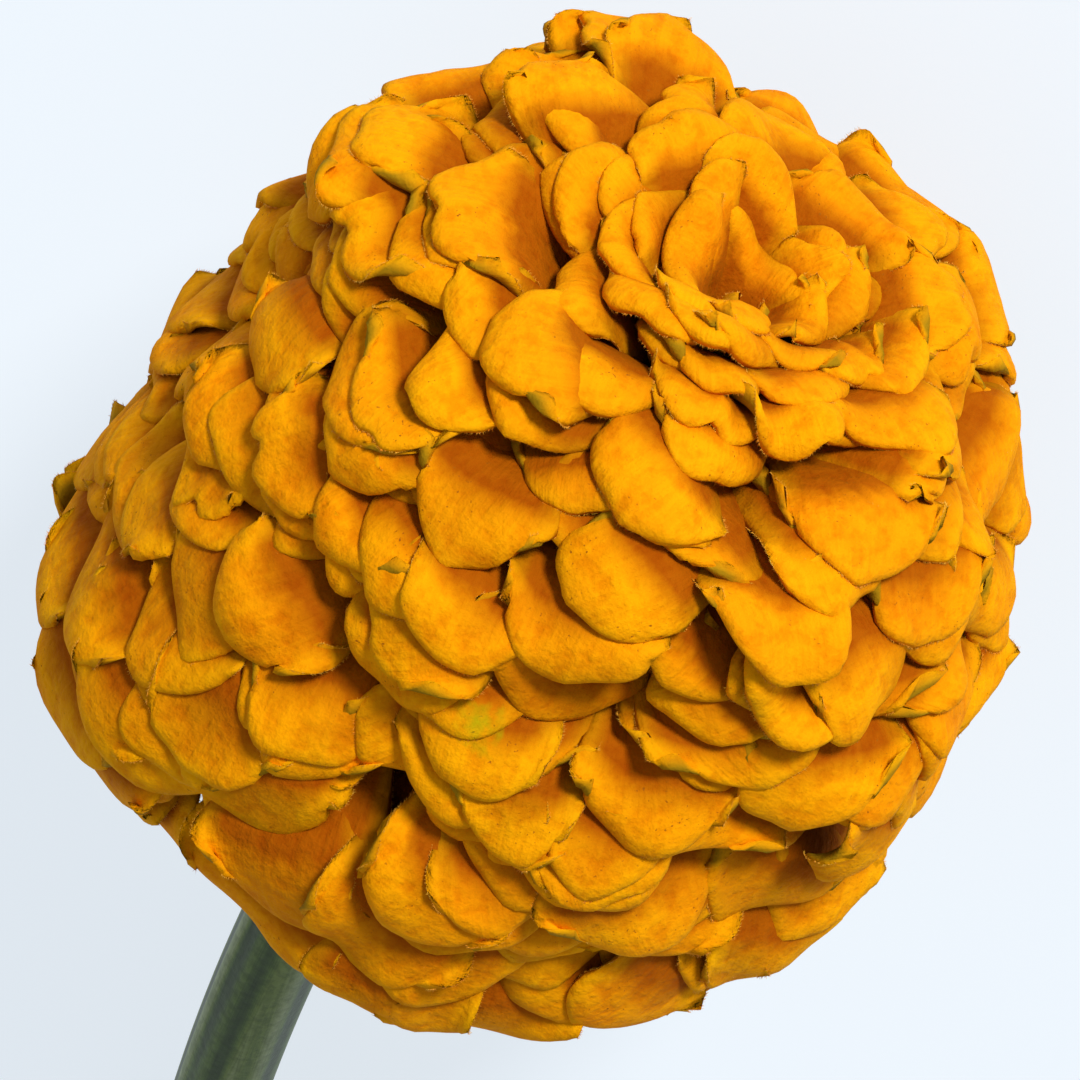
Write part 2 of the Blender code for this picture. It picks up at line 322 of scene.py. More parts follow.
def blurred(grid, times=1):
    """Each value is the mean of its four neighbours; at the sides a value stands in for its own."""
    for _ in range(times):
        wide = np.pad(grid, 1, mode="edge")
        grid = (wide[:-2, 1:-1] + wide[2:, 1:-1] + wide[1:-1, :-2] + wide[1:-1, 2:]) / 4
    return grid


def shell_faces(rows, columns):
    """Quads of a closed shell: the top grid, and the bottom grid that shares the top's border."""
    top = np.arange(rows * columns).reshape(rows, columns)
    bottom = top.copy()
    bottom[1:-1, 1:-1] = rows * columns + np.arange((rows - 2) * (columns - 2)).reshape(
        rows - 2, columns - 2
    )

    def quads(grid):
        return np.stack(
            [grid[:-1, :-1], grid[1:, :-1], grid[1:, 1:], grid[:-1, 1:]], axis=-1
        ).reshape(-1, 4)

    return np.concatenate([quads(top), quads(bottom)[:, ::-1]])


def repeated(faces, size, times):
    """One shell's faces for each of several shells, whose points follow each other."""
    starts = np.arange(times) * size
    return (faces[None] + starts[:, None, None]).reshape(-1, faces.shape[1])


def unit(vectors):
    return vectors / np.maximum(np.linalg.norm(vectors, axis=-1, keepdims=True), 1e-12)


def turned(points, arc, radius, aside, off):
    """Points moved round a circle: each lies an arc past a line, and goes aside and off the blade."""
    angle = arc / radius
    level = (radius * np.sin(angle) - arc)[..., None]
    above = (radius * (1 - np.cos(angle)))[..., None]
    return points + aside * level + off * above


def grid_normals(points, middle, blurs=0):
    """Unit normals of a grid on the side away from the middle.

    They are the cross products of its steps, averaged before they get their length, so that
    broad cells count for more than the narrow ones at the corners.
    """
    made = np.cross(np.gradient(points, axis=0), np.gradient(points, axis=1))
    made = unit(np.stack([blurred(made[..., axis], blurs) for axis in range(3)], axis=-1))
    return made * np.sign(np.sum(made * (points - middle), axis=-1).mean())


def thick_shell(points, normals, room, thickness):
    """Both faces of a blade: its grid moved by the normals, and less near its margins, as a circle."""
    inside = np.zeros_like(room)
    inside[1:-1, 1:-1] = 1
    near = np.maximum(1 - room / (thickness / 2), 0)
    full = np.sqrt(np.maximum(1 - near**2, 0)) * inside
    offset = normals * (full * thickness / 2)[..., None]
    top, bottom = points + offset, points - offset
    return np.concatenate([top.reshape(-1, 3), bottom[1:-1, 1:-1].reshape(-1, 3)])


def both_faces(values):
    """What the two faces' points share, a grid of values, in the order of thick_shell's points."""
    return np.concatenate([values.ravel(), values[1:-1, 1:-1].ravel()])


def closed_rings(rings, first, last):
    """A closed surface: quads as triangles between the rings, and a point that closes each end."""
    rows, columns = rings.shape[:2]
    grid = np.arange(rows * columns).reshape(rows, columns)
    beside = np.roll(grid, -1, axis=1)
    sides = (
        np.stack([grid[:-1], grid[1:], beside[1:]], axis=-1),
        np.stack([grid[:-1], beside[1:], beside[:-1]], axis=-1),
    )
    ends = (
        np.stack([grid[0], beside[0], np.full(columns, grid.size)], axis=-1),
        np.stack([beside[-1], grid[-1], np.full(columns, grid.size + 1)], axis=-1),
    )
    faces = np.concatenate([part.reshape(-1, 3) for part in (*sides, *ends)])
    return np.concatenate([rings.reshape(-1, 3), [first, last]]), faces


def softened_least(values, places):
    """The least of each value and its neighbours, averaged so that it never passes the value itself.

    It fades out where few of the values are high.
    """
    apart = np.abs(places[:, None] - places)
    least = np.where(apart < ROLL_EASE, values, 1).min(axis=1)
    share = np.maximum(1 - apart / ROLL_EASE, 0)
    soft = share @ least / share.sum(axis=1)
    shown = (soft * np.gradient(places)).sum() / np.ptp(places)
    return soft * smooth_step((shown - ROLL_PICKY) / 0.4)


class Petal:
    """One petal as a grid of points, with what its material reads."""

    def __init__(self, polar, azimuth, drawn):
        self.polar, self.azimuth, self.drawn = polar, azimuth, drawn
        self.degrees = math.degrees(polar)
        self.along, self.across = petal_grid()
        self.width = self.by_place(PETAL_WIDTHS) * (1 + 0.17 * drawn[0])
        self.length = self.by_place(PETAL_LENGTHS) * (1 + 0.10 * drawn[1])
        self.rooted = float(curve_at(self.degrees, ROOTED_SHARES))
        self.wild = float(curve_at(self.degrees, WILDNESS)) * (1 + 0.3 * math.sin(2 * azimuth))

    def by_place(self, points):
        return float(curve_at(self.degrees, points)) * MM

    def outline(self):
        """The blade laid out flat: how far aside and how far along each point is.

        The half-width grows as a sine to the broadest place and then narrows as a square. The
        tip's edge is a power curve, slanted and waved, with a notch or a point.
        """
        along, across, drawn = self.along, self.across, self.drawn
        grown = np.minimum(along / BROADEST, 1.0)
        past = np.maximum(along - BROADEST, 0) / (1 - BROADEST)
        half_width = self.width / 2 * (0.30 + 0.70 * np.sin(grown * math.pi / 2) ** 1.3)
        half_width *= 1 - (0.10 + 0.10 * drawn[2]) * past**2
        half_width *= 1 + 0.06 * drawn[18] * np.sin(9 * along + 6 * drawn[19])
        corner = 2.3 + 0.8 * drawn[3]
        tip_edge = 1 - 0.38 * (1 - np.maximum(1 - np.abs(across) ** corner, 0) ** 0.5)
        tip_edge += 0.08 * drawn[20] * across
        tip_edge += 0.035 * drawn[4] * np.sin(4.2 * across + 2.5 * drawn[5])
        notch = np.clip(1.6 * drawn[6] - 0.95, -0.12, 0.5)
        tip_edge -= 0.28 * notch * np.exp(-(((across - 0.4 * drawn[7]) / 0.20) ** 2))
        reach = along * self.length * (1 + (tip_edge - 1) * smooth_step(along * 1.2 - 0.2))
        aside = across * half_width + 0.08 * self.width * drawn[8] * np.sin(math.pi * along)
        self.room = np.minimum((1 - np.abs(across)) * half_width, (1 - along) * self.length)
        return aside, reach

    def place(self, aside, reach):
        """The flat blade's points as directions from the bloom's middle."""
        turn = PETAL_TURN * self.drawn[9] * self.wild
        radius = float(head_radius(self.polar))
        back = reach - 0.6 * self.length
        down = back * math.cos(turn) - aside * math.sin(turn) - 0.4 * self.length
        polar = self.polar + down / radius
        polar = EYE_ANGLE + np.logaddexp((polar - EYE_ANGLE) / 0.03, 0) * 0.03
        sideways = (aside * math.cos(turn) + back * math.sin(turn)) / radius
        return head_direction(polar, self.azimuth, sideways)

    def wanted_height(self, directions):
        """A curve that rises from the root's depth to the outline, with tilts, a bowl and waves."""
        along, across, drawn = self.along, self.across, self.drawn
        rise = 1 - np.maximum(1 - along / RISEN, 0) ** RISE_POWER
        height = outline_at(directions) - self.by_place(OUTLINE_INSETS) - self.by_place(ROOT_DEPTHS) * (1 - rise)
        cup = float(smooth_step(1 - self.degrees / 34))
        waves = 0.35 * drawn[11] * np.sin(2.6 * across + 3.0 * along + 3 * drawn[12])
        ruffle = RUFFLE * drawn[21] * self.wild * (1 + 4 * max(abs(drawn[21]) - 0.7, 0) / 0.3)
        waves += ruffle * along**2 * np.sin(5.0 * across + 6 * drawn[22])
        tilts = PETAL_LIFT * drawn[10] * along + PETAL_ROLL * drawn[13] * across
        tilts = tilts * self.wild + STAND_OFF * along
        bowl = (PETAL_BOWL * drawn[14] - 0.5 + 1.1 * cup) * across**2
        nod = PETAL_NOD * (1 + 0.7 * drawn[1]) * along**3
        return height + (waves + tilts + bowl - nod) * rise * MM

    def settle(self, wanted, floor, aside, reach):
        """Raises the blade off what lies below it, as stiffly as the slope limit says."""
        flat = np.stack([aside.ravel(), reach.ravel()], axis=-1)
        apart = np.linalg.norm(flat[:, None] - flat[None], axis=-1)
        height = wanted
        for blurs in BLADE_BLURS:
            short = np.maximum(floor - height, 0).ravel()
            raised = (short[None] - STIFF_SLOPE * apart).max(axis=1).reshape(wanted.shape)
            height = blurred(height + np.maximum(raised, 0), blurs)
        return height

    def shape(self, heights):
        """Lays the blade on the bloom, then lowers its rim along a circle and curls its parts."""
        aside, reach = self.outline()
        directions = self.place(aside, reach)
        wanted = self.wanted_height(directions)
        free = 1 - smooth_step(self.along / self.rooted)
        floor = heights.look(directions) + PETAL_GAP + PETAL_THICKNESS / 2 - ROOT_FREEDOM * free
        floor = blurred(floor, FLOOR_BLURS)
        height = self.settle(wanted, floor, aside, reach)
        self.margin = 1 - smooth_step(self.room / MARGIN_WIDTH)
        self.middle = directions * height[..., None]
        near = np.maximum(1 - self.room / RIM_RADIUS, 0)
        drop = RIM_RADIUS * RIM_SHARE * (1 - np.sqrt(np.maximum(1 - near**2, 0)))
        drop = np.minimum(drop, blurred(height - floor, LIMIT_BLURS) + 0.5 * PETAL_THICKNESS * near)
        self.drop = np.maximum(drop, 0)[..., None]
        self.off = grid_normals(self.middle, 0, 2)

    def curl(self, heights):
        """Rolls a side or the tip of some petals up over the blade, where no younger petal covers it.

        A rolled part goes round a circle. All other rims go down.
        """
        drawn = self.drawn
        own = np.linalg.norm(self.middle, axis=-1) + PETAL_THICKNESS / 2
        shown = smooth_step(1 - (heights.look(unit(self.middle)) - own) / COVERED_BY)
        self.shown = shown
        arc = np.zeros_like(shown)
        aside, radius = self.off, MM
        if drawn[23] > 1 - 2 * ROLLED_SHARE:
            side = 1 if drawn[24] > 0 else -1
            past = side * self.across - 0.30 - 0.20 * drawn[25]
            free = np.where(past > -ROLL_LANDS, shown, 1).min(axis=1)
            free = softened_least(free, self.along[:, 0])[:, None] * smooth_step(2 * self.along)
            wave = 1 + ROLL_WAVE * np.sin(7 * self.along + 3 * drawn[22])
            arc = np.maximum(past, 0) * self.width / 2 * free * wave
            aside = side * unit(np.gradient(self.middle, axis=1))[:, ACROSS_STEPS // 2, None]
            radius = (1.5 + 0.4 * drawn[26]) * MM
        elif drawn[23] < 2 * TIPPED_SHARE - 1:
            past = self.along - 0.66 - 0.08 * drawn[25] + 0.3 * drawn[24] * self.across
            free = np.where(past > -ROLL_LANDS / 2, shown, 1).min(axis=0)
            arc = np.maximum(past, 0) * self.length * softened_least(free, self.across[0])
            aside = unit(np.gradient(self.middle, axis=0))[ALONG_STEPS * 2 // 3]
            radius = (1.8 + 0.5 * drawn[26]) * MM
        arc = np.minimum(arc, ROLL_TURN * radius)
        down = self.drop * (1 - smooth_step(arc / MM))[..., None]
        self.curled = turned(self.middle, arc, radius, aside, self.off) - self.off * down

    def lay(self, heights):
        blade = self.middle - self.off * self.drop
        distance = np.linalg.norm(blade, axis=-1, keepdims=True)
        top = blade * (1 + PETAL_THICKNESS / 2 / distance)
        top = top[self.along[:, 0] > self.rooted / 2]
        fine_along = finer(len(top), FINE_ALONG)
        step = np.tensordot(fine_along, top, (1, 0))
        heights.lay(np.tensordot(finer(ACROSS_STEPS, FINE_ACROSS), step, (1, 1)))

    def shell(self):
        normals = grid_normals(self.curled, 0, 2)
        return thick_shell(self.curled, normals, self.room, PETAL_THICKNESS)

    def fringe(self, rng):
        """Hairs' roots on the shown margin, each with a direction away from the blade."""
        def border(grid):
            return np.concatenate([grid[1:, 0], grid[-1, 1:-1], grid[:0:-1, -1]])

        edge = border(self.curled)
        inner = np.concatenate([self.curled[1:, 1], self.curled[-2, 1:-1], self.curled[:0:-1, -2]])
        way = np.concatenate([[0], np.cumsum(np.linalg.norm(np.diff(edge, axis=0), axis=1))])
        at = rng.uniform(0, way[-1], int(way[-1] * HAIRS_A_METRE))
        at = at[np.interp(at, way, border(self.shown)) > 0.5]
        roots = np.stack([np.interp(at, way, edge[:, axis]) for axis in range(3)], axis=-1)
        out = unit(edge - inner)
        out = np.stack([np.interp(at, way, out[:, axis]) for axis in range(3)], axis=-1)
        return roots, unit(unit(out) + HAIR_SPREAD * rng.normal(size=out.shape))

    def hollow_shade(self, mean_reach):
        """How deep the blade lies under the mean height of the bloom about it: the amount of painted shade in
        its hollow.
        """
        own = np.linalg.norm(self.middle, axis=-1)
        return both_faces((mean_reach.look(unit(self.middle)) - own) / HOLLOW_SHADE_DEPTH)

    def tones(self):
        """Red is the way along, green the petal's own number, blue the face, alpha the margin."""
        along = both_faces(self.along)
        own = 0.55 * (self.drawn[15] + 1) / 2 + 0.45 * float(smooth_step(1.15 - self.degrees / 110))
        own = np.full(len(along), own)
        return np.stack([along, own, top_face(self.along), both_faces(self.margin)], axis=-1)

    def places(self):
        """UV: across and along, both from 0 to 1."""
        return np.stack([both_faces((self.across + 1) / 2), both_faces(self.along)], axis=-1)


def top_face(grid):
    """1 for the points of the upper face and 0 for those of the lower, in thick_shell's order."""
    under = grid[1:-1, 1:-1].size
    return np.concatenate([np.ones(grid.size), np.zeros(under)])


def mesh_piece(name, points, faces, material, tones=None, places=None):
    """A smooth mesh object that rides on the flower. Points are in the row's frame, in metres."""
    mesh = bpy.data.meshes.new(name)
    mesh.vertices.add(len(points))
    mesh.vertices.foreach_set("co", points.astype(np.float32).ravel())
    mesh.loops.add(faces.size)
    mesh.loops.foreach_set("vertex_index", faces.astype(np.int32).ravel())
    mesh.polygons.add(len(faces))
    starts = np.arange(len(faces), dtype=np.int32) * faces.shape[1]
    mesh.polygons.foreach_set("loop_start", starts)
    mesh.polygons.foreach_set("use_smooth", np.ones(len(faces), bool))
    mesh.update(calc_edges=True)
    if tones is not None:
        layer = mesh.color_attributes.new("tone", "FLOAT_COLOR", "POINT")
        layer.data.foreach_set("color", tones.astype(np.float32).ravel())
    if places is not None:
        layer = mesh.uv_layers.new(name="place")
        layer.data.foreach_set("uv", places[faces.ravel()].astype(np.float32).ravel())
    mesh.materials.append(material)
    piece = bpy.data.objects.new(name, mesh)
    bpy.context.scene.collection.objects.link(piece)
    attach(piece, "root")
    return piece


def petal_tips():
    """Each petal's tip angle from the eye, youngest first: each shows its share of the outline."""
    polar = np.linspace(FIRST_TIP, LAST_TIP, 800)
    ring = 2 * math.pi * np.sin(polar) * head_radius(polar) ** 2
    shown = by_polar(polar, SHOWN_AREAS) * MM**2
    grown = np.concatenate([[0], np.cumsum((ring / shown)[1:] * np.diff(polar))])
    count = int(grown[-1])
    return np.interp(np.arange(count) + 0.5, grown, polar)


def grow_petals():
    """Lays the petals from the oldest, at the skirt, to the youngest, at the eye."""
    tips = petal_tips()
    drawn = np.random.default_rng(SEED).uniform(-1, 1, (len(tips), DRAWS))
    heights = HeightMap()
    petals = []
    for index in reversed(range(len(tips))):
        azimuth = index * GOLDEN_ANGLE + TURN_JITTER * drawn[index, 16]
        polar = tips[index] + TIP_JITTER * drawn[index, 17] * min(1, 2 * tips[index])
        petal = Petal(polar, azimuth, drawn[index])
        petal.shape(heights)
        petal.lay(heights)
        petals.append(petal)
    for petal in petals:
        petal.curl(heights)
    return petals, heights


def spikes(roots, directions, lengths):
    """Three-sided spikes, closed at the foot, as points and faces."""
    side = unit(np.cross(directions, (0.36, 0.48, 0.80)))
    other = np.cross(directions, side)
    angles = np.arange(3) * 2 * math.pi / 3
    foot = np.cos(angles)[:, None] * side[:, None] + np.sin(angles)[:, None] * other[:, None]
    foot = roots[:, None] + HAIR_RADIUS * foot
    tips = roots + directions * lengths[:, None]
    points = np.concatenate([foot, tips[:, None]], axis=1).reshape(-1, 3)
    return points, repeated(np.array([(0, 1, 3), (1, 2, 3), (2, 0, 3), (0, 2, 1)]), 4, len(roots))


def make_hairs(petals, material):
    """Short hairs along the petals' margins, which blur their outline."""
    rng = np.random.default_rng(SEED + 3)
    roots, directions = (np.concatenate(part) for part in zip(*(p.fringe(rng) for p in petals)))
    for number, part in enumerate(np.array_split(np.arange(len(roots)), HAIR_PIECES)):
        lengths = HAIR_LENGTH * rng.uniform(0.5, 1.5, len(part))
        points, faces = spikes(to_row(roots[part]), directions[part] @ FLOWER_AXES, lengths)
        piece = mesh_piece(f"margin_hairs_{number + 1}", pressed(points), faces, material)
        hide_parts("ray_florets")


def make_petals(material, hairs):
    petals, heights = grow_petals()
    mean_reach = heights.averaged(MEAN_OVER)
    faces = shell_faces(ALONG_STEPS, ACROSS_STEPS)
    for number, group in enumerate(np.array_split(np.arange(len(petals)), PIECES)):
        shells = [petals[i].shell() for i in group]
        points = pressed(to_row(np.concatenate(shells)))
        every = repeated(faces, len(shells[0]), len(group))
        piece = mesh_piece(
            f"petals_{number + 1}",
            points,
            every,
            material,
            np.concatenate([petals[i].tones() for i in group]),
            np.concatenate([petals[i].places() for i in group]),
        )
        # How deep each point lies in the bloom's hollows, which the material paints as shade.
        hollow_shade = piece.data.attributes.new("hollow_shade", "FLOAT", "POINT")
        depth = np.concatenate([petals[i].hollow_shade(mean_reach) for i in group])
        hollow_shade.data.foreach_set("value", depth.astype(np.float32))
        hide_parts("ray_florets")
    make_hairs(petals, hairs)


def core_piece(material):
    """The shaded depth between the petals: the outline moved in by the core's depth. Its dark brown is painted
    shade, in place of deeper petals.
    """
    polar, azimuth = np.meshgrid(
        np.linspace(0.02, CORE_ENDS, 60), np.linspace(0, 2 * math.pi, 97)[:-1], indexing="ij"
    )
    radius = head_radius(polar, azimuth) - CORE_DEPTH
    out = np.stack([np.sin(polar) * np.cos(azimuth), np.sin(polar) * np.sin(azimuth)], axis=-1)
    rings = np.concatenate([out, np.cos(polar)[..., None]], axis=-1) * radius[..., None]
    points, faces = closed_rings(rings, (0, 0, rings[0, 0, 2]), (0, 0, rings[-1, 0, 2]))
    piece = mesh_piece("shaded_petal_bases", to_row(points), faces, material)
    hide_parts("ray_florets")


def on_cup(way):
    """Distance from the axis and height on the cup, from its foot (0) to its rim (1)."""
    radii, heights = (np.array(column) * MM for column in zip(*reversed(CUP_PROFILE)))
    at = np.clip(way, 0, 1) * (len(radii) - 1)
    stations = np.arange(len(radii))
    return np.interp(at, stations, radii), np.interp(at, stations, heights)


def cup_piece(material):
    """The cup under the bracts: its profile turned round the axis."""
    way, azimuth = np.meshgrid(
        np.linspace(1, 0, 30), np.linspace(0, 2 * math.pi, 73)[:-1], indexing="ij"
    )
    radius, height = on_cup(way)
    rings = np.stack([radius * np.cos(azimuth), radius * np.sin(azimuth), height], axis=-1)
    points, faces = closed_rings(rings, (0, 0, height[0, 0]), (0, 0, height[-1, 0]))
    piece = mesh_piece("bract_cup", to_row(points), faces, material)
    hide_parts("involucre")


def bract_grid(tip_way, azimuth, width, drawn):
    """A bract's points and their distances to its margin.

    It widens from its foot as a sine, ends in a circle's arc, and lies against the cup with its
    middle raised and its tip a little off it.
    """
    along, across = np.meshgrid(
        1 - (1 - np.linspace(0, 1, 14)) ** 1.4, np.sin(np.linspace(-1, 1, 15) * 1.4), indexing="ij"
    )
    across = across / across[-1, -1]
    half_width = width / 2 * (0.62 + 0.38 * np.sin(np.minimum(along / 0.7, 1) * math.pi / 2))
    tip_edge = 1 - 0.45 * (1 - np.sqrt(np.maximum(1 - across**2, 0)))
    reach = along * (1 + (tip_edge - 1) * smooth_step(along * 1.2 - 0.2))
    length_way = BRACT_LENGTH * (1 + 0.08 * drawn[0]) / (on_cup(1)[1] - on_cup(0)[1])
    radius, height = on_cup(np.clip(tip_way - (1 - reach) * length_way, 0.0, 1.0))
    radius = radius + MM * (-0.5 + 1.1 * reach + (0.15 + 0.2 * drawn[1]) * reach**3)
    radius = radius - MM * (0.28 * across**2 + 0.15 * drawn[2] * across)
    height = height + BRACT_OVERRUN * smooth_step(reach * 2 - 1) * (tip_way > 0.9)
    angle = azimuth + across * half_width / radius
    points = np.stack([radius * np.cos(angle), radius * np.sin(angle), height], axis=-1)
    room = np.minimum((1 - np.abs(across)) * half_width, (1 - along) * BRACT_LENGTH)
    return points, room, reach


def make_involucre(material):
    """Rows of overlapping bracts, each row set between those of the next."""
    rows = [
        (tip_way, row, step)
        for row, tip_way in enumerate(BRACT_TIPS)
        for step in range(BRACTS_A_ROW)
    ]
    drawn = np.random.default_rng(SEED + 1).uniform(-1, 1, (len(rows), 5))
    shells, tones = [], []
    for (tip_way, row, step), own in zip(rows, drawn):
        width = BRACT_OVERLAP * 2 * math.pi * on_cup(tip_way)[0] / BRACTS_A_ROW
        azimuth = 2 * math.pi * (step + row / 2 + 0.06 * own[3]) / BRACTS_A_ROW
        points, room, reach = bract_grid(tip_way, azimuth, width, own)
        axis_point = points * (0, 0, 1)
        shells.append(thick_shell(points, grid_normals(points, axis_point), room, BRACT_THICKNESS))
        margin = both_faces(1 - smooth_step(room / BRACT_MARGIN))
        number = np.full(len(margin), (own[4] + 1) / 2)
        tones.append(np.stack([both_faces(reach), number, top_face(room), margin], axis=-1))
    faces = repeated(shell_faces(*room.shape), len(shells[0]), len(shells))
    points = to_row(np.concatenate(shells))
    piece = mesh_piece("bracts", points, faces, material, np.concatenate(tones))
    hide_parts("involucre")


def stem_path():
    """The stem's middle line: steps along a heading that bends aside, then drops as an arc."""
    gone = np.linspace(0, STEM_LENGTH, STEM_ROWS)
    middle = (gone[1:] + gone[:-1]) / 2
    aside = STEM_SIDE_BEND * (1 - np.exp(-middle / STEM_BEND_WITHIN))
    down = AXIS_RISE + (STEM_DROP - AXIS_RISE) * middle / STEM_LENGTH
    heading = -np.stack(
        [np.cos(down) * np.cos(aside), np.cos(down) * np.sin(aside), np.sin(down)], axis=-1
    )
    top = to_row(np.array([0.0, 0.0, STEM_TOP]))
    steps = np.cumsum(heading * np.diff(gone)[:, None], axis=0)
    return gone, np.concatenate([[top], top + steps])


def make_stem(material):
    """A tube along the path: its radius is a sum of slow waves round it, which make its ridges.

    Its last rings shrink to a point: the cut end's pith.
    """
    gone, path = stem_path()
    angle = np.linspace(0, 2 * math.pi, STEM_COLUMNS + 1)[:-1]
    gone, angle = np.meshgrid(gone, angle, indexing="ij")
    drawn = np.random.default_rng(SEED + 2).uniform(0, 2 * math.pi, (2, 9))
    waves = sum(
        np.cos(turns * angle + first + 0.9 * np.sin(gone / STEM_LENGTH * 4 + second)) / 9
        for turns, first, second in zip(range(3, 12), *drawn)
    )
    radius = STEM_RADIUS * (1 + NECK_SWELL * np.exp(-gone / NECK_WITHIN) + STEM_RIDGES * waves)
    heading = unit(np.gradient(path, axis=0))
    side = unit(np.cross(heading, (0.0, 0.0, 1.0)))
    upper = np.cross(side, heading)
    out = np.cos(angle)[..., None] * side[:, None] + np.sin(angle)[..., None] * upper[:, None]
    rings = path[:, None] + out * radius[..., None]
    shares = np.array([0.96, 0.86, 0.6, 0.3])
    sunk = np.array([0.0, -0.15, -0.3, -0.4]) * MM
    end = path[-1] + (rings[-1] - path[-1]) * shares[:, None, None]
    end = end + heading[-1] * (sunk[:, None, None] + 0.15 * MM)
    rings = np.concatenate([rings, end])
    points, faces = closed_rings(rings, path[0], path[-1] - 0.3 * MM * heading[-1])
    skin = np.concatenate([np.ones(STEM_ROWS), np.zeros(len(shares))])
    skin = np.concatenate([np.repeat(skin, STEM_COLUMNS), [1, 0]])
    bands = np.concatenate([waves, np.repeat(waves[-1:], len(shares), axis=0)])
    bands = np.concatenate([bands.ravel() * 1.5 + 0.5, [0.5, 0.5]])
    along = np.concatenate([gone, np.repeat(gone[-1:], len(shares), axis=0)]) / STEM_LENGTH
    along = np.concatenate([along.ravel(), [0, 1]])
    tones = np.stack([along, bands, skin, np.ones_like(skin)], axis=-1)
    piece = mesh_piece("stem_tube", pressed(points), faces, material, tones)
    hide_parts("stem")


def new_material(name):
    made = bpy.data.materials.new(name)
    made.use_nodes = True
    return made, made.node_tree, made.node_tree.nodes["Principled BSDF"]


def add(tree, kind, **settings):
    node = tree.nodes.new(kind)
    for key, value in settings.items():
        if key in node.inputs:
            node.inputs[key].default_value = value
        else:
            setattr(node, key, value)
    return node


def ramp(tree, source, stops):
    node = tree.nodes.new("ShaderNodeValToRGB")
    while len(node.color_ramp.elements) < len(stops):
        node.color_ramp.elements.new(0.5)
    for element, (place, colour) in zip(node.color_ramp.elements, stops):
        element.position = place
        element.color = (*colour, 1.0)
    tree.links.new(source, node.inputs[0])
    return node.outputs["Color"]


def mix(tree, share, first, second, blend="MIX"):
    node = tree.nodes.new("ShaderNodeMix")
    node.data_type = "RGBA"
    node.blend_type = blend
    for socket, value in ((node.inputs[0], share), (node.inputs[6], first), (node.inputs[7], second)):
        if isinstance(value, bpy.types.NodeSocket):
            tree.links.new(value, socket)
        elif isinstance(value, tuple):
            socket.default_value = (*value, 1.0)
        else:
            socket.default_value = value
    return node.outputs[2]


def noise(tree, place, scale, detail=2.0, roughness=0.5):
    node = add(tree, "ShaderNodeTexNoise", Scale=scale, Detail=detail, Roughness=roughness)
    tree.links.new(place, node.inputs["Vector"])
    return node.outputs["Fac"]


def maths(tree, operation, *values):
    node = add(tree, "ShaderNodeMath", operation=operation)
    for socket, value in zip(node.inputs, values):
        if isinstance(value, bpy.types.NodeSocket):
            tree.links.new(value, socket)
        else:
            socket.default_value = value
    return node.outputs[0]


def between(tree, value, low, high):
    """0 below low, 1 above high, and an even slope between them."""
    node = add(tree, "ShaderNodeMapRange")
    tree.links.new(value, node.inputs["Value"])
    node.inputs["From Min"].default_value = low
    node.inputs["From Max"].default_value = high
    return node.outputs["Result"]


def attribute(tree, name):
    return add(tree, "ShaderNodeAttribute", attribute_name=name)


